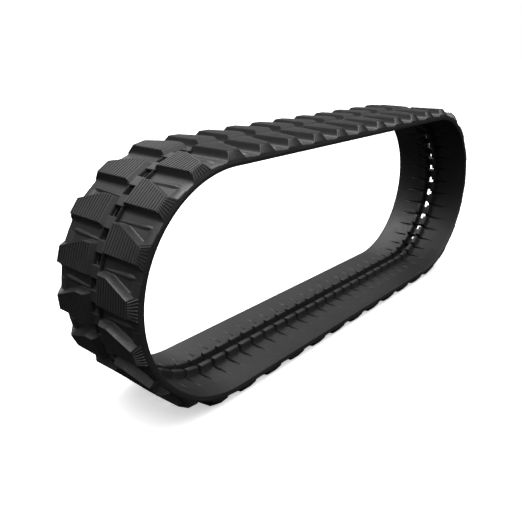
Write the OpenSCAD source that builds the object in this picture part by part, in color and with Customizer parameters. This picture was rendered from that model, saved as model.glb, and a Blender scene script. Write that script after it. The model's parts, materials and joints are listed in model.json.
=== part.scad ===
// Rubber track: an endless rubber belt moulded round forged steel cores and two steel cord belts.
// It stands on its bottom run. X runs along the loop, Y across its width, Z up, and the origin is
// below the middle of the loop, on the ground.
// A place on the loop is its distance u along the steel cords from the middle of the bottom run,
// first towards +X. A depth is measured outward from the inner face, which the rollers run on.

/* [Belt] */
// Width of the belt
belt_w = 300; // [290:5:320]
// Length of one link along the steel cords
pitch = 55.5; // [54:0.5:57]
// Links in each straight run, an odd number
run_links = 19; // [15:2:23]
// Straight lead-in between a run and its round end
lead_in = 19; // [14:1:24]
// Thickness of the rubber under the tread lugs
belt_t = 16; // [16:0.5:18]
// Depth of the steel cords below the inner face
cord_depth = 12; // [12:0.25:12.5]

/* [Tread lugs] */
// Height of a tread lug
lug_h = 23; // [18:1:28]
// Length of a lug's top beside the middle of the belt
lug_l = 64; // [60:1:66]
// Length of a lug's top at the edge of the belt
lug_tip_l = 36; // [32:1:42]
// How far a lug's top reaches past the middle of its core
lug_end = 8; // [6:1:10]
// How far a lug's sloping sides spread below its top
flank = 12; // [8:1:14]

/* [Sprocket windows and guide lugs] */
// Length of a sprocket window along the belt
window_l = 25; // [22:1:27]
// Width of a sprocket window
window_w = 24; // [20:1:26]
// Height of a guide lug above the inner face
guide_h = 20; // [16:1:22]
// Length of a guide lug at its root
guide_l = 46; // [42:1:47]
// Width of a guide lug at its root
guide_w = 17; // [16:0.5:17.5]
// How far the bridge between two windows stands out of the tread's floor
bridge_h = 10; // [6:1:12]
// How deep the guide lugs' footing lies below the roller path
footing_d = 1; // [0.5:0.5:2]

/* [Steel inside] */
// Length of a steel core across the belt
core_w = 214; // [190:2:230]
// Thickness of a core's wings
wing_t = 6.5; // [5:0.5:6.5]
// Thickness of a steel cord belt
cord_t = 3; // [2:0.5:3]
// Width of a steel cord belt
cord_belt_w = 104; // [90:2:108]
// Rubber bonding layer round the steel
bond = 0.1; // [0.05:0.05:0.2]

/* [Hinge lines] */
// Gap between two neighbouring stretches of the belt, at the cords
hinge_gap = 0.3; // [0.2:0.1:0.5]
// Room for bending inwards, on each side of a hinge line
inward_bend = 4.6; // [4:0.2:5]
// Room for bending outwards, on each side of a hinge line
outward_bend = 3.2; // [3:0.2:4]

/* [Hidden] */
$fn = 96;
half_run = run_links / 2;
// Links from a run's end to each hinge line of the round end
END_LINKS = [5, 9, 13, 18];
cord_r = (END_LINKS[3] * pitch - 2 * lead_in) / PI;
inner_r = cord_r - cord_depth;
flat_half = half_run * pitch + lead_in;
inner_z = belt_t + lug_h;
// Where the roller path starts, out from the middle of the belt
roller_y = window_w / 2 + guide_w + 2;
centre_z = inner_z + inner_r;
arc_l = PI * cord_r;
loop_l = 4 * flat_half + 2 * arc_l;
rear_end = half_run + END_LINKS[3];
top_end = rear_end + run_links;

// Stretches of belt that move as one, each from one hinge line to the next, in links
bottom = [-half_run, half_run];
rear_1 = [half_run, half_run + END_LINKS[0]];
rear_2 = [half_run + END_LINKS[0], half_run + END_LINKS[1]];
rear_3 = [half_run + END_LINKS[1], half_run + END_LINKS[2]];
rear_4 = [half_run + END_LINKS[2], rear_end];
top = [rear_end, top_end];
front_4 = [top_end, top_end + END_LINKS[0]];
front_3 = [top_end + END_LINKS[0], top_end + END_LINKS[1]];
front_2 = [top_end + END_LINKS[1], top_end + END_LINKS[2]];
front_1 = [top_end + END_LINKS[2], top_end + END_LINKS[3]];

STRETCHES = ["bottom", "rear_1", "rear_2", "rear_3", "rear_4",
             "top", "front_4", "front_3", "front_2", "front_1"];
PIECES = ["carcass", "tread_lugs", "guide_lugs", "steel_cores", "cord_belts"];

RUBBER = "#2c2c2e";
MOULDED = "#353537";
FORGED = "#6e6a66";
WIRE = "#b8a06a";

// Straight and round lengths of the loop, from u to u
STRAIGHTS = [[-flat_half, flat_half], [flat_half + arc_l, 3 * flat_half + arc_l],
             [loop_l - flat_half, loop_l]];
ARCS = [[flat_half, flat_half + arc_l], [3 * flat_half + arc_l, loop_l - flat_half]];

function degrees(arc) = arc / cord_r * 180 / PI;
// How far the belt has turned at u: 0 on the bottom run, 180 on the top run
function turn(u) =
    u <= ARCS[0][0] ? 0 :
    u < ARCS[0][1] ? degrees(u - ARCS[0][0]) :
    u <= ARCS[1][0] ? 180 :
    u < ARCS[1][1] ? 180 + degrees(u - ARCS[1][0]) : 360;
// X of the centre that the belt turns about at u, or of the place itself on a straight
function middle_x(u) =
    u < ARCS[0][0] ? u :
    u < ARCS[0][1] ? flat_half :
    u < ARCS[1][0] ? 2 * flat_half + arc_l - u :
    u < ARCS[1][1] ? -flat_half : u - loop_l;

// Puts a shape at u on the loop: its x runs along the belt and its z points into the loop,
// from the inner face
module at(u) {
    translate([middle_x(u) + inner_r * sin(turn(u)), 0, centre_z - inner_r * cos(turn(u))])
        rotate([0, -turn(u), 0]) children();
}

// A slab that follows the belt from u0 to u1, between two depths and two places across
module slab(u0, u1, depths, across) {
    thick = depths[1] - depths[0];
    wide = across[1] - across[0];
    for (run = STRAIGHTS) {
        start = max(u0, run[0]);
        end = min(u1, run[1]);
        if (end > start)
            at((start + end) / 2)
                translate([(start - end) / 2, across[0], -depths[1]]) cube([end - start, wide, thick]);
    }
    for (arc = ARCS) {
        start = max(u0, arc[0]);
        end = min(u1, arc[1]);
        if (end > start) {
            // Swept from the end that meets a straight run, if either does
            from = end == arc[1] ? turn(end) : turn(start);
            to = end == arc[1] ? turn(start) : turn(end);
            translate([middle_x(start), 0, centre_z])
                rotate([90, 0, 0]) rotate([0, 0, from - 90])
                    rotate_extrude(angle = to - from, $fn = 180)
                        translate([inner_r + depths[0], -across[1]]) square([thick, wide]);
        }
    }
}

// The wedge of room that is left open across the belt at a hinge line
module hinge_room(u) {
    reach = 60;
    gap = hinge_gap / 2;
    inward = gap + reach * tan(inward_bend);
    outward = gap + reach * tan(outward_bend);
    at(u) translate([0, 0, -cord_depth]) rotate([90, 0, 0])
        linear_extrude(belt_w + 10, center = true)
            polygon([[gap, 0], [inward, reach], [-inward, reach],
                     [-gap, 0], [-outward, -reach], [outward, -reach]]);
}

module both_hinges(stretch) {
    hinge_room(stretch[0] * pitch);
    hinge_room(stretch[1] * pitch);
}

// One forged core: a bar with two wings in the belt, and two horns that stand up into the guide lugs
module core(skin = 0) {
    bar_l = pitch - window_l - 3.5;
    bar_w = window_w + 2 * guide_w;
    wing_tip_l = 16;
    horn_w = 10;
    horn_y = (window_w + guide_w - horn_w) / 2;
    translate([0, 0, -3 - wing_t - skin]) linear_extrude(wing_t + 2 * skin)
        polygon([[-bar_l / 2 - skin, -bar_w / 2], [-wing_tip_l / 2 - skin, -core_w / 2 - skin],
                 [wing_tip_l / 2 + skin, -core_w / 2 - skin], [bar_l / 2 + skin, -bar_w / 2],
                 [bar_l / 2 + skin, bar_w / 2], [wing_tip_l / 2 + skin, core_w / 2 + skin],
                 [-wing_tip_l / 2 - skin, core_w / 2 + skin], [-bar_l / 2 - skin, bar_w / 2]]);
    for (side = [-1, 1])
        translate([0, side * (horn_y + horn_w / 2), -5]) rotate([90, 0, 0])
            linear_extrude(horn_w + 2 * skin, center = true)
                polygon([[-12 - skin, 0], [12 + skin, 0],
                         [9 + skin, guide_h + 1 + skin], [-9 - skin, guide_h + 1 + skin]]);
}

// The two rubber sides of the belt, with the inside of the sprocket windows, the footing of the
// guide lugs, the flex grooves between links, and the room for the steel
module carcass(stretch) {
    u0 = stretch[0] * pitch;
    u1 = stretch[1] * pitch;
    groove_d = 5;
    groove_w = 6;
    color(RUBBER) difference() {
        for (side = [-1, 1])
            slab(u0, u1, [0, belt_t], side > 0 ? [window_w / 2, belt_w / 2] : [-belt_w / 2, -window_w / 2]);
        slab(u0 - 1, u1 + 1, [-1, footing_d], [-roller_y, roller_y]);
        both_hinges(stretch);
        cord_strips(u0 - 1, u1 + 1, bond);
        for (link = [stretch[0] + 0.5 : stretch[1]])
            at(link * pitch) core(bond);
        for (groove = [stretch[0] + 1 : stretch[1] - 0.5])
            at(groove * pitch)
                for (side = [-1, 1])
                    translate([0, side * (roller_y + 32), 0]) rotate([90, 0, 0])
                        linear_extrude(68, center = true)
                            polygon([[0, -groove_d], [groove_w / 2, 1], [-groove_w / 2, 1]]);
    }
}

// One tread lug for the -Y side of the belt, a little taller than it will be cut to. Its top is
// as long as the window and the core beside it, and gets shorter towards the belt's edge.
module lug() {
    over = 3;
    root = 6;
    half = lug_l / 2;
    bend_y = 56;
    inner_top = 25;
    inner_root = 18;
    edge = belt_w / 2 - 0.1;
    edge_top = edge - 15;
    lean = flank * over / lug_h;
    inner_lean = (inner_top - inner_root) * over / lug_h;
    edge_lean = (edge - edge_top) * over / lug_h;
    translate([0, 0, -inner_z]) intersection() {
        rotate([90, 0, 0]) linear_extrude(belt_w + 2, center = true)
            polygon([[lean - half, -over], [half - lean, -over],
                     [half + flank, lug_h], [half + flank, lug_h + root],
                     [-half - flank, lug_h + root], [-half - flank, lug_h]]);
        rotate([90, 0, 90]) linear_extrude(3 * pitch, center = true)
            polygon([[-inner_top - inner_lean, -over], [-inner_root, lug_h], [-inner_root, lug_h + root],
                     [-edge, lug_h + root], [-edge, lug_h], [-edge_top + edge_lean, -over]]);
        translate([-half, -bend_y, 0])
            rotate([0, 0, atan((lug_l - lug_tip_l) / (edge_top - bend_y))])
                rotate([0, -atan(flank / lug_h), 0])
                    translate([0, -belt_w, -belt_w]) cube([belt_w, 2 * belt_w, 2 * belt_w]);
    }
}

// Lugs stand on the -Y side of every odd link and the +Y side of every even link. The first half
// of a lug lies over the window before its core, so it may belong to the stretch before.
module tread_lugs(stretch) {
    u0 = stretch[0] * pitch;
    u1 = stretch[1] * pitch;
    color(MOULDED) difference() {
        intersection() {
            for (link = [stretch[0] + 0.5 : stretch[1] + 0.5])
                at(link * pitch + lug_end - lug_l / 2) mirror([0, link % 2 == 0 ? 1 : 0, 0]) lug();
            slab(u0, u1, [belt_t - 3, inner_z], [-belt_w / 2, belt_w / 2]);
        }
        slab(u0 - 1, u1 + 1, [belt_t - 4, belt_t], [-belt_w / 2 - 1, belt_w / 2 + 1]);
        both_hinges(stretch);
    }
}

// One guide lug, a little deeper than it will be cut to
module guide_lug() {
    narrow = 2;
    taper = 1;
    root = 3;
    intersection() {
        rotate([90, 0, 0]) linear_extrude(guide_w, center = true)
            polygon([[-guide_l / 2, -root], [guide_l / 2, -root], [guide_l / 2, 0],
                     [guide_l / 2 - narrow, guide_h], [-guide_l / 2 + narrow, guide_h],
                     [-guide_l / 2, 0]]);
        rotate([90, 0, 90]) linear_extrude(guide_l + 2, center = true)
            polygon([[-guide_w / 2, -root], [guide_w / 2, -root], [guide_w / 2, 0],
                     [guide_w / 2 - taper, guide_h], [-guide_w / 2 + taper, guide_h],
                     [-guide_w / 2, 0]]);
    }
}

// Two guide lugs over each core, and the rubber bridge between two sprocket windows
module guide_lugs(stretch) {
    u0 = stretch[0] * pitch;
    u1 = stretch[1] * pitch;
    bridge_l = pitch - window_l;
    bridge_w = window_w - 2 * bond;
    color(RUBBER) difference() {
        for (link = [stretch[0] + 0.5 : stretch[1]])
            at(link * pitch) {
                translate([-bridge_l / 2, -bridge_w / 2, -belt_t - bridge_h])
                    cube([bridge_l, bridge_w, belt_t + bridge_h]);
                for (side = [-1, 1])
                    translate([0, side * (window_w + guide_w + 1) / 2, 0]) guide_lug();
            }
        for (side = [-1, 1])
            slab(u0, u1, [footing_d - bond, belt_t],
                 side > 0 ? [window_w / 2, roller_y] : [-roller_y, -window_w / 2]);
        for (link = [stretch[0] + 0.5 : stretch[1]])
            at(link * pitch) core(bond);
    }
}

module steel_cores(stretch) {
    color(FORGED) for (link = [stretch[0] + 0.5 : stretch[1]])
        at(link * pitch) core();
}

module cord_strips(u0, u1, skin = 0) {
    inner_y = 38;
    for (side = [-1, 1])
        slab(u0, u1, [cord_depth - cord_t / 2 - skin, cord_depth + cord_t / 2 + skin],
             side > 0 ? [inner_y - skin, inner_y + cord_belt_w + skin]
                      : [-inner_y - cord_belt_w - skin, -inner_y + skin]);
}

// The two flat belts of steel cord, one on each side of the windows
module cord_belts(stretch) {
    color(WIRE) difference() {
        cord_strips(stretch[0] * pitch, stretch[1] * pitch);
        both_hinges(stretch);
    }
}

carcass(bottom);  // carcass_bottom
tread_lugs(bottom);  // tread_lugs_bottom
guide_lugs(bottom);  // guide_lugs_bottom
steel_cores(bottom);  // steel_cores_bottom
cord_belts(bottom);  // cord_belts_bottom
carcass(rear_1);  // carcass_rear_1
tread_lugs(rear_1);  // tread_lugs_rear_1
guide_lugs(rear_1);  // guide_lugs_rear_1
steel_cores(rear_1);  // steel_cores_rear_1
cord_belts(rear_1);  // cord_belts_rear_1
carcass(rear_2);  // carcass_rear_2
tread_lugs(rear_2);  // tread_lugs_rear_2
guide_lugs(rear_2);  // guide_lugs_rear_2
steel_cores(rear_2);  // steel_cores_rear_2
cord_belts(rear_2);  // cord_belts_rear_2
carcass(rear_3);  // carcass_rear_3
tread_lugs(rear_3);  // tread_lugs_rear_3
guide_lugs(rear_3);  // guide_lugs_rear_3
steel_cores(rear_3);  // steel_cores_rear_3
cord_belts(rear_3);  // cord_belts_rear_3
carcass(rear_4);  // carcass_rear_4
tread_lugs(rear_4);  // tread_lugs_rear_4
guide_lugs(rear_4);  // guide_lugs_rear_4
steel_cores(rear_4);  // steel_cores_rear_4
cord_belts(rear_4);  // cord_belts_rear_4
carcass(top);  // carcass_top
tread_lugs(top);  // tread_lugs_top
guide_lugs(top);  // guide_lugs_top
steel_cores(top);  // steel_cores_top
cord_belts(top);  // cord_belts_top
carcass(front_4);  // carcass_front_4
tread_lugs(front_4);  // tread_lugs_front_4
guide_lugs(front_4);  // guide_lugs_front_4
steel_cores(front_4);  // steel_cores_front_4
cord_belts(front_4);  // cord_belts_front_4
carcass(front_3);  // carcass_front_3
tread_lugs(front_3);  // tread_lugs_front_3
guide_lugs(front_3);  // guide_lugs_front_3
steel_cores(front_3);  // steel_cores_front_3
cord_belts(front_3);  // cord_belts_front_3
carcass(front_2);  // carcass_front_2
tread_lugs(front_2);  // tread_lugs_front_2
guide_lugs(front_2);  // guide_lugs_front_2
steel_cores(front_2);  // steel_cores_front_2
cord_belts(front_2);  // cord_belts_front_2
carcass(front_1);  // carcass_front_1
tread_lugs(front_1);  // tread_lugs_front_1
guide_lugs(front_1);  // guide_lugs_front_1
steel_cores(front_1);  // steel_cores_front_1
cord_belts(front_1);  // cord_belts_front_1
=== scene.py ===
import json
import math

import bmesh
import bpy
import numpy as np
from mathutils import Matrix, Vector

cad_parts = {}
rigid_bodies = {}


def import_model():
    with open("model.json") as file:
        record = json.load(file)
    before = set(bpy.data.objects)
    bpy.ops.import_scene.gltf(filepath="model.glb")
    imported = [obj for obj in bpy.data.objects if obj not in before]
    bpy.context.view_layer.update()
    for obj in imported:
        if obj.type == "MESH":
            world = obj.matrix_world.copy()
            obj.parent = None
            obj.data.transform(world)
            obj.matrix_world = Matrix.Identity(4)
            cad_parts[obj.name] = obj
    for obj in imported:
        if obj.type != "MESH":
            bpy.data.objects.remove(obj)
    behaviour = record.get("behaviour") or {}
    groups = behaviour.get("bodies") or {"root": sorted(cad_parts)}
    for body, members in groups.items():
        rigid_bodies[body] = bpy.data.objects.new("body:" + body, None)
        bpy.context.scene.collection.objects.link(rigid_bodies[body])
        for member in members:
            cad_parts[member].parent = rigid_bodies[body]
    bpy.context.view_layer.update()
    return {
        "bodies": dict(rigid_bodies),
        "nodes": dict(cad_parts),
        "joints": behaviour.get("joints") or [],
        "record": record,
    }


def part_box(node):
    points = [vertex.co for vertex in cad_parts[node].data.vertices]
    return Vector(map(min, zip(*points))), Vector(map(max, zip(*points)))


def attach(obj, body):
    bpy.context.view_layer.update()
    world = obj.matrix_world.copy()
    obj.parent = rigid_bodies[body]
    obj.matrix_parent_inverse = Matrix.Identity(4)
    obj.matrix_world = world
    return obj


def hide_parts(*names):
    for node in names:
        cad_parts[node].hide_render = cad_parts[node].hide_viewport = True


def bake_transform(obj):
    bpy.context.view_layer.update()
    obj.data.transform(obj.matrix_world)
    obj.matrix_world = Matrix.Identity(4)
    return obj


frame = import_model()

# A rubber track for a small digger, standing on its bottom run. The steel inside keeps its CAD
# shape. The rubber is built here as it is moulded: the belt with its flex grooves and sprocket
# windows, the ribbed tread lugs, the ribs and window frames on the floor between them, and the guide
# lugs.
#
# Places on the belt are (u, y, n): u runs along the steel cords from the middle of the bottom run,
# first towards +X; y runs across the belt; n is the depth outward from the inner face.

MM = 0.001

# ------------------------------------------------------------------ the loop, from the frame
JOINTS = {joint["name"]: joint for joint in frame["joints"]}
LINKS_IN_RUN = 19
run_hinge = Vector(JOINTS["front_root_bend"]["pos_m"])
round_hinge = Vector(JOINTS["front_round_press"]["pos_m"])

PITCH = -2 * run_hinge.x / LINKS_IN_RUN
CORD_R = round_hinge.z - run_hinge.z
CENTRE_Z = round_hinge.z
FLAT_HALF = -round_hinge.x - CORD_R
ARC = math.pi * CORD_R

belt_low, belt_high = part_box("carcass_bottom")
lugs_low, lugs_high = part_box("tread_lugs_bottom")
bridges_low, guides_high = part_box("guide_lugs_bottom")
BELT_T = belt_high.z - belt_low.z
HALF_W = belt_high.y
INSIDE_CAD = 0.02 * MM
LUG_TOP = belt_high.z - lugs_low.z - INSIDE_CAD
GUIDE_H = guides_high.z - belt_high.z
CORD_N = belt_high.z - run_hinge.z
BRIDGE_TOP = belt_high.z - bridges_low.z

# The stretches of belt that move as one, and the hinge lines between them, in links
STRETCHES = {
    "bottom_run": (-9.5, 9.5), "rear_1": (9.5, 14.5), "rear_2": (14.5, 18.5),
    "rear_3": (18.5, 22.5), "rear_4": (22.5, 27.5), "top_run": (27.5, 46.5),
    "front_4": (46.5, 51.5), "front_3": (51.5, 55.5), "front_2": (55.5, 59.5),
    "front_1": (59.5, 64.5),
}
HINGES = {
    "rear_root": ("bottom_run", "rear_1", 9.5), "rear_lower": ("rear_1", "rear_2", 14.5),
    "rear_round": ("rear_2", "rear_3", 18.5), "rear_upper": ("rear_3", "rear_4", 22.5),
    "front_top": ("top_run", "front_4", 46.5), "front_upper": ("front_4", "front_3", 51.5),
    "front_round": ("front_3", "front_2", 55.5), "front_lower": ("front_2", "front_1", 59.5),
    "front_root": ("front_1", "bottom_run", 64.5),
}
# The one joint of the closed loop that is left open, at the end of rear_4
OPEN_HINGE = 27.5


def place(u, y, n):
    """Points in the row frame, in metres, for arrays of places on the belt."""
    u, y, n = np.broadcast_arrays(np.asarray(u, float), np.asarray(y, float), np.asarray(n, float))
    lap = 4 * FLAT_HALF + 2 * ARC
    v = np.mod(u + FLAT_HALF, lap) - FLAT_HALF
    turn = (np.clip(v - FLAT_HALF, 0, ARC) + np.clip(v - 3 * FLAT_HALF - ARC, 0, ARC)) / CORD_R
    middle = np.where(v < FLAT_HALF, v,
                      np.where(v < FLAT_HALF + ARC, FLAT_HALF,
                               np.where(v < 3 * FLAT_HALF + ARC, 2 * FLAT_HALF + ARC - v, -FLAT_HALF)))
    radius = CORD_R + n - CORD_N
    return np.stack([middle + radius * np.sin(turn), y, CENTRE_Z - radius * np.cos(turn)], -1)


# ------------------------------------------------------------------ mesh work
# Edges sharper than this stay crisp, in degrees
SMOOTH_ANGLE = 38


class Shape:
    """Closed pieces of one mesh, gathered as places on the belt."""

    def __init__(self):
        self.points = []
        self.faces = []
        self.count = 0

    def loft(self, rings):
        """A closed solid through rings of places, each ring an array (points, 3) of u, y, n."""
        rings = np.asarray(rings, float)
        stations, size = rings.shape[:2]
        first = self.count
        self.points.append(rings.reshape(-1, 3))
        self.count += stations * size
        here = first + np.arange(stations - 1)[:, None] * size + np.arange(size)
        step = first + np.arange(stations - 1)[:, None] * size + (np.arange(size) + 1) % size
        quads = np.stack([here, step, step + size, here + size], -1).reshape(-1, 4)
        self.faces.extend(quads.tolist())
        self.faces.append([first + i for i in range(size)][::-1])
        self.faces.append([first + (stations - 1) * size + i for i in range(size)])

    def mirrored(self):
        """The same pieces on the other side of the belt."""
        other = Shape()
        other.points = [p * np.array([1, -1, 1]) for p in self.points]
        other.faces = [face[::-1] for face in self.faces]
        other.count = self.count
        return other

    def add(self, other, u=0.0):
        """Adds a copy of another shape, moved along the belt by u."""
        self.points.extend([p + np.array([u, 0, 0]) for p in other.points])
        self.faces.extend([[i + self.count for i in face] for face in other.faces])
        self.count += other.count


def make_piece(name, shape, material):
    """A mesh object of the shape, bent round the loop."""
    places = np.concatenate(shape.points)
    mesh = bpy.data.meshes.new(name)
    mesh.from_pydata(place(places[:, 0], places[:, 1], places[:, 2]).tolist(), [], shape.faces)
    mesh.materials.append(material)
    mesh.validate()
    piece = bpy.data.objects.new(name, mesh)
    bpy.context.scene.collection.objects.link(piece)
    outward(mesh)
    mesh.shade_smooth()
    mesh.set_sharp_from_angle(angle=math.radians(SMOOTH_ANGLE))
    return piece


def outward(mesh):
    """Turns every face of a closed mesh to look outward."""
    work = bmesh.new()
    work.from_mesh(mesh)
    bmesh.ops.recalc_face_normals(work, faces=work.faces)
    work.to_mesh(mesh)
    work.free()


# ------------------------------------------------------------------ the belt
WINDOW_HALF_W = 12 * MM
WINDOW_HALF_L = 12.5 * MM
WINDOW_CORNER = 6.5 * MM
WINDOW_BEVEL = 1.5 * MM
GROOVE_DEPTH = 7.0 * MM
GROOVE_HALF_W = 6.0 * MM
GROOVE_FROM_Y = 30 * MM
GROOVE_TO_Y = 90 * MM
INNER_EDGE_R = 3 * MM
OUTER_EDGE_R = 2 * MM
RIDGE_N = 10 * MM
RIDGE_W = 0.4 * MM

# Places across the belt, in mm, at which its faces get a row of points
INNER_FACE_ROWS = (14, 21, 29, 32, 40, 50, 62, 74, 86, 97, 110, 128)
OUTER_FACE_ROWS = (120, 80, 40, 14)

# Distances from a flex groove, in mm, at which the belt gets a ring of its own. The ones at 12.5 and
# 12.53 are the two sides of a window's end wall.
RING_DISTANCES = [0, 1.3, 2.7, 4.0, 5.2, 6.4, 8.0, 9.5, 10.8, 11.8, 12.3, 12.5, 12.53, 14.0, 20.0]


def groove_depth(distance, y):
    """How deep the flex groove is, at a distance along the belt from its middle line."""
    taper = np.clip((GROOVE_TO_Y - y) / (GROOVE_TO_Y - GROOVE_FROM_Y), 0, 1)
    half_w = GROOVE_HALF_W * (0.3 + 0.7 * taper)
    wall = np.clip(1.5 * (1 - (distance / half_w) ** 2), 0, 1)
    return GROOVE_DEPTH * (1 - (1 - taper) ** 2) * wall


def window_edge(distance):
    """How far the sprocket window reaches across, at a distance from its middle."""
    into_corner = distance - (WINDOW_HALF_L - WINDOW_CORNER)
    past_end_wall = distance > WINDOW_HALF_L + 0.01 * MM
    if past_end_wall:
        return 0.0
    if into_corner <= 0:
        return WINDOW_HALF_W
    return WINDOW_HALF_W - WINDOW_CORNER + math.sqrt(max(0, WINDOW_CORNER ** 2 - into_corner ** 2))


def belt_ring(u):
    """The outline of the +Y half of the belt at u, as places."""
    nearest_groove = (math.floor(u / PITCH + 1e-9) + 0.5) * PITCH
    distance = abs(u - nearest_groove)
    edge = window_edge(distance)
    bevel = WINDOW_BEVEL * edge / WINDOW_HALF_W
    side = HALF_W - RIDGE_W
    inner_face = [edge + bevel] + [row * MM for row in INNER_FACE_ROWS]
    points = [(edge, bevel)]
    points += [(y, groove_depth(distance, y)) for y in inner_face]
    for step in range(5):
        angle = step / 4 * math.pi / 2
        points.append((side - INNER_EDGE_R + INNER_EDGE_R * math.sin(angle),
                       INNER_EDGE_R - INNER_EDGE_R * math.cos(angle)))
    points += [(side, RIDGE_N - 0.5 * MM), (HALF_W, RIDGE_N), (HALF_W, RIDGE_N + 0.5 * MM),
               (side, RIDGE_N + MM), (side, BELT_T - OUTER_EDGE_R),
               (side - 0.3 * OUTER_EDGE_R, BELT_T - 0.3 * OUTER_EDGE_R), (side - OUTER_EDGE_R, BELT_T)]
    points += [(row * MM, BELT_T) for row in OUTER_FACE_ROWS]
    points += [(edge + bevel, BELT_T), (edge, BELT_T - bevel)]
    return [(u, y, n) for y, n in points]


def belt_shape(first, last):
    """Both halves of the belt from one link place to another, with its windows and grooves."""
    stations = {first * PITCH, last * PITCH}
    for link in range(math.floor(first) - 1, math.ceil(last) + 1):
        groove = (link + 0.5) * PITCH
        for distance in RING_DISTANCES:
            stations |= {groove - distance * MM, groove + distance * MM}
    stations = sorted(u for u in stations if first * PITCH - 1e-9 <= u <= last * PITCH + 1e-9)
    half = Shape()
    half.loft([belt_ring(u) for u in stations])
    both = Shape()
    both.add(half)
    both.add(half.mirrored())
    return both


# ------------------------------------------------------------------ the tread
FLOOR_N = BELT_T
LUG_H = LUG_TOP - FLOOR_N
LUG_END_U = 8 * MM
LUG_L = 64 * MM
LUG_TIP_L = 36 * MM
SLANT_FROM_Y = 56 * MM
LUG_OUTER_Y = 134 * MM
OUTER_SPREAD = 0.35
LUG_SUNK = 1.5 * MM
SUNK_SPREAD = 0.5 * MM
DETAIL_SUNK = 1.2 * MM

# The ribs across a lug's top, and the land along its slanted side where they end
RIBS = 12
RIB_H = 1.7 * MM
FIRST_RIB_Y = 29.6 * MM
RIB_SPACING = 9.3 * MM
# Half a rib's width at its top and at its foot, in mm
RIB_HALF_TOP = 2.2
RIB_HALF_FOOT = 3.1
LAND_W = 2.2 * MM
LAND_FALL_W = 1 * MM
LAND_FROM_Y = 26.2 * MM

# The fanned ribs down a lug's outer side
FAN_RIBS = 7
FAN_SPACING = 4.9 * MM
FAN_OPENS = 0.75
FAN_OUT = 13.2 * MM
FAN_DROP = 18.6 * MM

# How a lug's sides fall: share of its height that is left, and how far out that is, in mm
STEEP_SIDE = [(0, 14.0), (0.02, 11.6), (0.06, 9.0), (0.12, 7.0), (0.22, 5.2), (0.4, 3.6),
              (0.7, 1.8), (0.95, 0.5), (1, 0)]
SLANTED_SIDE = [(0, 8.0), (0.02, 7.0), (0.05, 6.2), (0.1, 5.6), (0.3, 4.3), (0.6, 2.5),
                (0.95, 0.5), (1, 0)]


def side_reach(fall, share):
    """How far out a lug's side is, at a share of the lug's height."""
    heights = [height for height, reach in fall]
    reaches = [reach * MM for height, reach in fall]
    return float(np.interp(share, heights, reaches))


def lug_start(y):
    """Where a lug's slanted side starts at its top, at y across the belt."""
    slant = np.clip((y - SLANT_FROM_Y) / (LUG_OUTER_Y - SLANT_FROM_Y), 0, 1)
    return LUG_END_U - LUG_L + slant * (LUG_L - LUG_TIP_L)


def lug_ring(y, share, edge_share):
    """A slice of a lug at y across the belt. Its top rises to a share of the lug's height, and the
    land along its slanted side to a share of its own."""
    start = lug_start(y) - max(0, y - LUG_OUTER_Y) * OUTER_SPREAD
    sunk = FLOOR_N - LUG_SUNK
    left = [(start - side_reach(SLANTED_SIDE, height * edge_share), FLOOR_N + LUG_H * height * edge_share)
            for height, reach in SLANTED_SIDE]
    left.append((start + LAND_W, FLOOR_N + LUG_H * edge_share))
    left.append((start + LAND_W + LAND_FALL_W, FLOOR_N + LUG_H * share))
    right = [(LUG_END_U + side_reach(STEEP_SIDE, height * share), FLOOR_N + LUG_H * height * share)
             for height, reach in STEEP_SIDE]
    ring = [(left[0][0] - SUNK_SPREAD, sunk)] + left + right[::-1] + [(right[0][0] + SUNK_SPREAD, sunk)]
    return [(u, y, n) for u, n in ring]


def lug_slices():
    """Places across a lug, in mm, with the share of the lug's height there."""
    valley = 1 - RIB_H / LUG_H
    slices = [(13.0, 0.20), (13.6, 0.38), (15.5, 0.50), (18.0, 0.62), (20.5, 0.76), (22.4, 0.87),
              (24.2, 0.935), (26.0, valley)]
    for rib in range(RIBS):
        middle = (FIRST_RIB_Y + rib * RIB_SPACING) / MM
        slices += [(middle - RIB_HALF_FOOT, valley), (middle - RIB_HALF_TOP, 1.0),
                   (middle + RIB_HALF_TOP, 1.0), (middle + RIB_HALF_FOOT, valley)]
    slices += [(134.6, valley), (135.8, 0.91), (139.5, 0.68), (144.2, 0.38), (147.6, 0.14), (149.3, 0.0)]
    return slices


def fan_rib(offset):
    """One rib down a lug's outer side. Its offset is from the middle of the lug's tip."""
    rings = []
    for along in (0.02, 0.35, 0.7, 0.98):
        u = LUG_END_U - LUG_TIP_L / 2 + offset * (1 + FAN_OPENS * along) + 1.5 * MM * along
        y = LUG_OUTER_Y + 1.6 * MM + along * FAN_OUT
        n = LUG_TOP - 2.2 * MM - along * FAN_DROP
        rings.append([(u - 1.5 * MM, y - 0.8 * MM, n - 0.8 * MM), (u - 0.7 * MM, y + 0.8 * MM, n + 0.6 * MM),
                      (u, y + 1.4 * MM, n + 1.1 * MM), (u + 0.7 * MM, y + 0.8 * MM, n + 0.6 * MM),
                      (u + 1.5 * MM, y - 0.8 * MM, n - 0.8 * MM)])
    return rings


def lug_shape():
    """One tread lug on the +Y side: ribbed on top, with fanned ribs down its outer side."""
    rings = []
    for y, share in lug_slices():
        has_land = LAND_FROM_Y < y * MM < LUG_OUTER_Y
        rings.append(lug_ring(y * MM, share, 1.0 if has_land else share))
    lug = Shape()
    lug.loft(rings)
    for rib in range(FAN_RIBS):
        lug.loft(fan_rib((rib - (FAN_RIBS - 1) / 2) * FAN_SPACING))
    return lug


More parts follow.
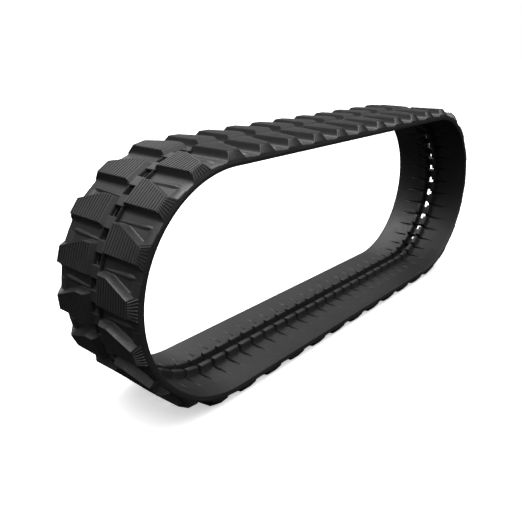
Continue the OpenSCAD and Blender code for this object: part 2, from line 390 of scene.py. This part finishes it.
def low_block(shape, rows):
    """Adds a low moulded block with bevelled top edges. Each row holds, in mm, its y, its height over
    the tread's floor, its middle along the belt, and its half length at the top and at the foot."""
    bevel = 0.8
    rings = []
    for y, height, middle, half_top, half_foot in rows:
        profile = [(-half_foot, None), (-half_top - 0.6, height - bevel), (-half_top + 0.4, height),
                   (half_top - 0.4, height), (half_top + 0.6, height - bevel), (half_foot, None)]
        rings.append([((middle + along) * MM, y * MM,
                       FLOOR_N - DETAIL_SUNK if up is None else FLOOR_N + up * MM) for along, up in profile])
    shape.loft(rings)


def edge_ramp(shape):
    """Adds the low ramp at the belt's edge, from the rib up to the lug's slanted side."""
    start = -66.0
    rings = []
    for y, low, high in ((118.5, -0.5, -0.5), (122.5, 1.6, 4.0), (145.5, 1.8, 4.2), (148.2, 0.6, 1.6),
                         (149.3, -0.6, -0.6)):
        end = lug_start(y * MM) / MM - 2.0
        rings.append([(start * MM, y * MM, FLOOR_N - DETAIL_SUNK),
                      ((start + 0.8) * MM, y * MM, FLOOR_N + low * MM),
                      ((end - 9.0) * MM, y * MM, FLOOR_N + (low + 0.75 * (high - low)) * MM),
                      (end * MM, y * MM, FLOOR_N + high * MM),
                      ((end + 2.0) * MM, y * MM, FLOOR_N - DETAIL_SUNK)])
    shape.loft(rings)


def floor_detail():
    """The rib across the floor before a lug, and the ramp beside it."""
    detail = Shape()
    low_block(detail, [(17, 0.2, -67.5, 0.8, 4.5), (24, 1.6, -67.8, 1.0, 5.5), (60, 3.2, -69.0, 1.4, 7.0),
                       (100, 4.6, -70.6, 2.2, 9.0), (112, 4.2, -71.0, 2.0, 9.0), (121, 2.6, -71.3, 1.6, 7.5),
                       (130, -0.4, -71.6, 1.0, 5.0)])
    edge_ramp(detail)
    return detail


def window_frame():
    """The raised frame that joins a lug on the +Y side to the middle: a foot over the core, and
    a thin rim along the far side of the window before it."""
    frame_h = (BRIDGE_TOP - FLOOR_N) / MM - 0.1
    frame = Shape()
    low_block(frame, [(-15.0, frame_h - 1.2, 0, 14.0, 15.2), (-14.2, frame_h, 0, 13.6, 15.2),
                      (12.0, frame_h, 0, 13.6, 15.2), (22.0, frame_h + 1.6, 0, 13.0, 15.2)])
    rings = []
    for u, share in ((-41.0, 0.6), (-40.0, 1.0), (-12.0, 1.0), (-11.0, 0.6)):
        top = FLOOR_N + frame_h * share * MM
        foot = FLOOR_N - DETAIL_SUNK
        rings.append([(u * MM, -15.6 * MM, foot), (u * MM, -12.2 * MM, foot),
                      (u * MM, -12.6 * MM, top - 0.8 * MM), (u * MM, -13.1 * MM, top),
                      (u * MM, -14.2 * MM, top), (u * MM, -14.8 * MM, top - 0.8 * MM)])
    frame.loft(rings)
    return frame


# ------------------------------------------------------------------ the guide lugs
GUIDE_Y = 21 * MM
GUIDE_CORNER_R = 2.2 * MM
# Height above the inner face, length and width of a guide lug's slices, in mm. The heights are for
# a lug 20 mm high, and stretch with the real one.
GUIDE_DRAWN_H = 20
GUIDE_SLICES = [(-2.5, 47.0, 18.6), (0.4, 46.4, 17.8), (1.6, 45.6, 16.9), (9.0, 44.4, 16.2),
                (17.0, 43.2, 15.4), (18.9, 42.6, 14.8), (19.8, 41.2, 13.4), (20.0, 40.0, 12.2)]


def rounded_corners(length, width, radius, height, y):
    """A rectangle with round corners, lying at a height above the inner face."""
    ring = []
    for side_u, side_y, start in ((1, 1, 0), (-1, 1, 90), (-1, -1, 180), (1, -1, 270)):
        for step in range(4):
            angle = math.radians(start + step * 30)
            ring.append((side_u * (length / 2 - radius) + radius * math.cos(angle),
                         y + side_y * (width / 2 - radius) + radius * math.sin(angle), -height))
    return ring


def guide_pair():
    """The two guide lugs of one link, with their feet sunk in the belt."""
    pair = Shape()
    for side in (-1, 1):
        rings = []
        for height, length, width in GUIDE_SLICES:
            up = height / GUIDE_DRAWN_H * GUIDE_H if height > 0 else height * MM
            rings.append(rounded_corners(length * MM, width * MM, GUIDE_CORNER_R, up, side * GUIDE_Y))
        pair.loft(rings)
    return pair


# ------------------------------------------------------------------ materials
# Sizes of what the patterns show. The pebbles and the cords are drawn coarser than the real ones
# (about 0.3 mm and 4 mm), so that they show.
FLOW_CLOUD = 111.11 * MM
PEBBLE = 1.1111 * MM
BLOOM_PATCH = 16.667 * MM
SCALE_FLAKE = 7.1429 * MM
CORD_LINE = 11.22 * MM
PAPER_CLOUD = 333.33 * MM


def linear(code):
    """A linear RGBA colour from an sRGB hex code."""
    parts = [int(code[i:i + 2], 16) / 255 for i in (1, 3, 5)]
    return [c / 12.92 if c <= 0.04045 else ((c + 0.055) / 1.055) ** 2.4 for c in parts] + [1.0]


def add(tree, kind, settings=None, **links):
    """Adds a node with its settings. A link names an input and gives the output that feeds it."""
    made = tree.nodes.new(kind)
    for key, value in (settings or {}).items():
        if isinstance(key, str) and hasattr(made, key):
            setattr(made, key, value)
        else:
            made.inputs[key].default_value = value
    for key, source in links.items():
        tree.links.new(source, made.inputs[key.replace("_", " ")])
    return made


def ramp(tree, source, stops):
    """A colour ramp on an output, with its stops as (position, colour)."""
    made = add(tree, "ShaderNodeValToRGB", Fac=source)
    elements = made.color_ramp.elements
    while len(elements) < len(stops):
        elements.new(0.5)
    for element, (position, colour) in zip(elements, stops):
        element.position = position
        element.color = colour
    return made


def new_material(name):
    """An empty material and its node tree."""
    material = bpy.data.materials.new(name)
    material.use_nodes = True
    material.node_tree.nodes.clear()
    return material, material.node_tree


def moulded_rubber():
    """Carbon-black rubber, press moulded in a steel mould: near black, a soft satin sheen,
    faint flow clouds and a fine pebble skin."""
    material, tree = new_material("moulded_black_rubber")
    place_on_part = add(tree, "ShaderNodeTexCoord").outputs["Object"]
    clouds = add(tree, "ShaderNodeTexNoise", {"Scale": 1 / FLOW_CLOUD, "Detail": 5.0, "Roughness": 0.6},
                 Vector=place_on_part)
    skin = add(tree, "ShaderNodeTexNoise", {"Scale": 1 / PEBBLE, "Detail": 2.0}, Vector=place_on_part)
    bloom = add(tree, "ShaderNodeTexNoise", {"Scale": 1 / BLOOM_PATCH, "Detail": 4.0}, Vector=place_on_part)
    tone = ramp(tree, clouds.outputs["Fac"], [(0.3, linear("#212122")), (0.7, linear("#29292a"))])
    sheen = ramp(tree, bloom.outputs["Fac"], [(0.3, (0.40, 0.40, 0.40, 1)), (0.75, (0.52, 0.52, 0.52, 1))])
    relief = add(tree, "ShaderNodeBump", {"Strength": 0.25, "Distance": 0.0004}, Height=skin.outputs["Fac"])
    shader = add(tree, "ShaderNodeBsdfPrincipled", {"IOR": 1.5, "Metallic": 0.0},
                 Base_Color=tone.outputs["Color"], Roughness=sheen.outputs["Color"],
                 Normal=relief.outputs["Normal"])
    add(tree, "ShaderNodeOutputMaterial", Surface=shader.outputs["BSDF"])
    return material


def forged_steel():
    """Drop-forged steel as it leaves the furnace: dark grey-brown scale, rough and dull."""
    material, tree = new_material("forged_scaled_steel")
    place_on_part = add(tree, "ShaderNodeTexCoord").outputs["Object"]
    scale = add(tree, "ShaderNodeTexNoise", {"Scale": 1 / SCALE_FLAKE, "Detail": 6.0}, Vector=place_on_part)
    tone = ramp(tree, scale.outputs["Fac"], [(0.35, linear("#4b4642")), (0.65, linear("#6d6761"))])
    relief = add(tree, "ShaderNodeBump", {"Strength": 0.5, "Distance": 0.0006}, Height=scale.outputs["Fac"])
    shader = add(tree, "ShaderNodeBsdfPrincipled", {"Metallic": 0.85, "Roughness": 0.62},
                 Base_Color=tone.outputs["Color"], Normal=relief.outputs["Normal"])
    add(tree, "ShaderNodeOutputMaterial", Surface=shader.outputs["BSDF"])
    return material


def steel_cord():
    """Brass-coated steel cords laid side by side: a warm metal with fine lines along the belt."""
    material, tree = new_material("brass_coated_steel_cord")
    place_on_part = add(tree, "ShaderNodeTexCoord").outputs["Object"]
    # A wave of scale 1 has 20 radians to the metre
    cords_scale = 2 * math.pi / (20 * CORD_LINE)
    lines = add(tree, "ShaderNodeTexWave", {"bands_direction": "Y", "Scale": cords_scale, "Distortion": 0.3},
                Vector=place_on_part)
    tone = ramp(tree, lines.outputs["Fac"], [(0.2, linear("#6b5a34")), (0.8, linear("#b49a62"))])
    relief = add(tree, "ShaderNodeBump", {"Strength": 0.8, "Distance": 0.001}, Height=lines.outputs["Fac"])
    shader = add(tree, "ShaderNodeBsdfPrincipled", {"Metallic": 1.0, "Roughness": 0.38},
                 Base_Color=tone.outputs["Color"], Normal=relief.outputs["Normal"])
    add(tree, "ShaderNodeOutputMaterial", Surface=shader.outputs["BSDF"])
    return material


RUBBER = moulded_rubber()
FORGED = forged_steel()
CORD = steel_cord()


def dress(node, material):
    """Gives a CAD node a material of its own."""
    shown = frame["nodes"][node]
    shown.data.materials.clear()
    shown.data.materials.append(material)


# ------------------------------------------------------------------ putting the track together
LUG = lug_shape()
DETAIL = floor_detail()
WINDOW_FRAME = window_frame()
GUIDES = guide_pair()


def links_between(first, last):
    """The links whose middles lie from one place to another, both counted in links."""
    return list(range(math.ceil(first), math.floor(last) + 1))


def tread_of(links):
    """Lugs, floor details and window frames of the given links, mirrored on the odd ones."""
    tread = Shape()
    for link in links:
        one = Shape()
        one.add(LUG)
        one.add(DETAIL)
        one.add(WINDOW_FRAME)
        tread.add(one if link % 2 == 0 else one.mirrored(), link * PITCH)
    return tread


def guides_of(links):
    """The pairs of guide lugs of the given links."""
    guides = Shape()
    for link in links:
        guides.add(GUIDES, link * PITCH)
    return guides


# Room that each end of the rubber leaves at the open hinge, so that it can close there, in degrees
ROOM_OUTSIDE = 2.2
ROOM_INSIDE = 1.5
# How far each end stays from the hinge line itself
ROOM_AT_LINE = 0.05 * MM


def cut_at_open_hinge(piece, side):
    """Cuts a piece at the open hinge, and keeps its +X side (1) or its -X side (-1). The cut leans
    back from the hinge line, above the cords and below them."""
    line = place(OPEN_HINGE * PITCH, 0, CORD_N)
    line[0] += side * ROOM_AT_LINE
    work = bmesh.new()
    work.from_mesh(piece.data)
    for angle in (ROOM_OUTSIDE, -ROOM_INSIDE):
        away = (-side * math.cos(math.radians(angle)), 0, math.sin(math.radians(angle)))
        everything = work.verts[:] + work.edges[:] + work.faces[:]
        bmesh.ops.bisect_plane(work, geom=everything, dist=1e-6, plane_co=tuple(line), plane_no=away,
                               clear_outer=True)
        rims = [edge for edge in work.edges if edge.is_boundary]
        bmesh.ops.holes_fill(work, edges=rims)
    bmesh.ops.recalc_face_normals(work, faces=work.faces)
    work.to_mesh(piece.data)
    work.free()
    piece.data.set_sharp_from_angle(angle=math.radians(SMOOTH_ANGLE))


def stretch_pieces(body, first, last):
    """The rigid rubber of one stretch. Beside a hinge line, the rubber is made apart."""
    node_end = body.replace("_run", "")
    open_first = first == OPEN_HINGE
    open_last = last == OPEN_HINGE
    belt_first = first if open_first else first + 0.5
    belt_last = last if open_last else last - 0.5
    belt = make_piece(f"belt_{body}", belt_shape(belt_first, belt_last), RUBBER)
    links = links_between(first, last)
    inner_links = [link for link in links
                   if (open_first or link > belt_first) and (open_last or link < belt_last)]
    if open_last:
        inner_links.append(links[-1] + 1)
    tread = make_piece(f"tread_{body}", tread_of(inner_links), RUBBER)
    if open_first or open_last:
        cut_at_open_hinge(belt, -1 if open_first else 1)
        cut_at_open_hinge(tread, -1 if open_first else 1)
    guides = make_piece(f"guides_{body}", guides_of(links), RUBBER)
    for piece, node in ((belt, "carcass"), (tread, "tread_lugs"), (guides, "guide_lugs")):
        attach(piece, body)
        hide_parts(f"{node}_{node_end}")
    dress(f"steel_cores_{node_end}", FORGED)
    dress(f"cord_belts_{node_end}", CORD)


# Half the length over which the rubber bends at a hinge line
FLEX_HALF = 14 * MM


def hinge_pieces(name, link):
    """The rubber across one hinge line, from the middle of one link to the next."""
    belt = make_piece(f"bend_belt_{name}", belt_shape(link - 0.5, link + 0.5), RUBBER)
    tread = make_piece(f"bend_tread_{name}", tread_of([round(link - 0.5), round(link + 0.5)]), RUBBER)
    start = place(link * PITCH - FLEX_HALF, 0, CORD_N)
    end = place(link * PITCH + FLEX_HALF, 0, CORD_N)
    for piece in (belt, tread):
        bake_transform(piece)


for body, (first, last) in STRETCHES.items():
    stretch_pieces(body, first, last)
for name, (body_a, body_b, link) in HINGES.items():
    hinge_pieces(name, link)


# ------------------------------------------------------------------ floor, light and camera
def pale_floor():
    """White paper under the track: pale to look at, but dark in the light it throws back."""
    material, tree = new_material("pale_paper_floor")
    place_on_part = add(tree, "ShaderNodeTexCoord").outputs["Object"]
    grain = add(tree, "ShaderNodeTexNoise", {"Scale": 1 / PAPER_CLOUD}, Vector=place_on_part)
    tone = ramp(tree, grain.outputs["Fac"], [(0.0, linear("#f7f7f7")), (1.0, linear("#fbfbfb"))])
    shade = ramp(tree, grain.outputs["Fac"], [(0.0, linear("#2c2c2c")), (1.0, linear("#303030"))])
    seen = add(tree, "ShaderNodeLightPath").outputs["Is Camera Ray"]
    lift = add(tree, "ShaderNodeMath", {"operation": "MULTIPLY", 1: 0.50}, Value=seen).outputs["Value"]
    # Of this node, inputs 6 and 7 and output 2 are the colours
    both = add(tree, "ShaderNodeMix", {"data_type": "RGBA"}, Factor=seen)
    tree.links.new(shade.outputs["Color"], both.inputs[6])
    tree.links.new(tone.outputs["Color"], both.inputs[7])
    shader = add(tree, "ShaderNodeBsdfPrincipled", {"Roughness": 1.0, "Specular IOR Level": 0.0},
                 Base_Color=both.outputs[2], Emission_Strength=lift)
    shader.inputs["Emission Color"].default_value = (1, 1, 1, 1)
    add(tree, "ShaderNodeOutputMaterial", Surface=shader.outputs["BSDF"])
    mesh = bpy.data.meshes.new("floor")
    reach = 30.0
    mesh.from_pydata([(-reach, -reach, 0), (reach, -reach, 0), (reach, reach, 0), (-reach, reach, 0)],
                     [], [(0, 1, 2, 3)])
    mesh.materials.append(material)
    floor = bpy.data.objects.new("floor", mesh)
    bpy.context.scene.collection.objects.link(floor)


LIGHTS_AIM = (0, 0, 0.3)


def area_light(name, location, size, power):
    """A square lamp that faces the middle of the track, with its size in metres and power in watts."""
    light = bpy.data.lights.new(name, "AREA")
    light.shape = "SQUARE"
    light.size = size
    light.energy = power
    lamp = bpy.data.objects.new(name, light)
    lamp.location = location
    lamp.rotation_euler = (Vector(LIGHTS_AIM) - Vector(location)).to_track_quat("-Z", "Y").to_euler()
    bpy.context.scene.collection.objects.link(lamp)


def studio():
    """A soft white studio: bright overhead, dim round the sides, and plain white to look at."""
    world = bpy.data.worlds.new("white_studio")
    bpy.context.scene.world = world
    world.use_nodes = True
    tree = world.node_tree
    tree.nodes.clear()
    direction = add(tree, "ShaderNodeTexCoord").outputs["Generated"]
    height = add(tree, "ShaderNodeSeparateXYZ", Vector=direction).outputs["Z"]
    glow = ramp(tree, height, [(0.0, (0.006, 0.006, 0.006, 1)), (0.3, (0.03, 0.03, 0.03, 1)),
                               (0.65, (0.3, 0.3, 0.3, 1)), (1.0, (1, 1, 1, 1))])
    lighting = add(tree, "ShaderNodeBackground", {"Strength": 3.2}, Color=glow.outputs["Color"])
    backdrop = add(tree, "ShaderNodeBackground", {"Color": (1, 1, 1, 1), "Strength": 1.0})
    seen = add(tree, "ShaderNodeLightPath").outputs["Is Camera Ray"]
    mixed = add(tree, "ShaderNodeMixShader", Fac=seen)
    tree.links.new(lighting.outputs["Background"], mixed.inputs[1])
    tree.links.new(backdrop.outputs["Background"], mixed.inputs[2])
    add(tree, "ShaderNodeOutputWorld", Surface=mixed.outputs["Shader"])
    area_light("overhead", (-0.5, 0.5, 3.4), 2.2, 80)
    area_light("far_side", (1.0, 3.4, 1.4), 1.6, 12)
    area_light("near_side", (1.6, -3.4, 1.0), 1.2, 7)
    bpy.context.scene.view_settings.view_transform = "Standard"


def camera():
    """A viewer above the near side of the front end. Its distances go by the inner radius of the
    round ends."""
    azimuth = math.radians(-49.25)
    elevation = math.radians(20.91)
    back = Vector((math.sin(azimuth) * math.cos(elevation), -math.cos(azimuth) * math.cos(elevation),
                   math.sin(elevation)))
    inner_r = CORD_R - CORD_N
    distance = 5.91 * inner_r
    target = Vector((-0.980 * inner_r, 0, 0.823 * inner_r + belt_high.z))
    lens = bpy.data.cameras.new("camera")
    lens.sensor_width = 36
    lens.lens = 39.88
    viewer = bpy.data.objects.new("camera", lens)
    viewer.location = target + back * distance
    viewer.rotation_euler = (-back).to_track_quat("-Z", "Y").to_euler()
    bpy.context.scene.collection.objects.link(viewer)
    bpy.context.scene.camera = viewer


pale_floor()
studio()
camera()
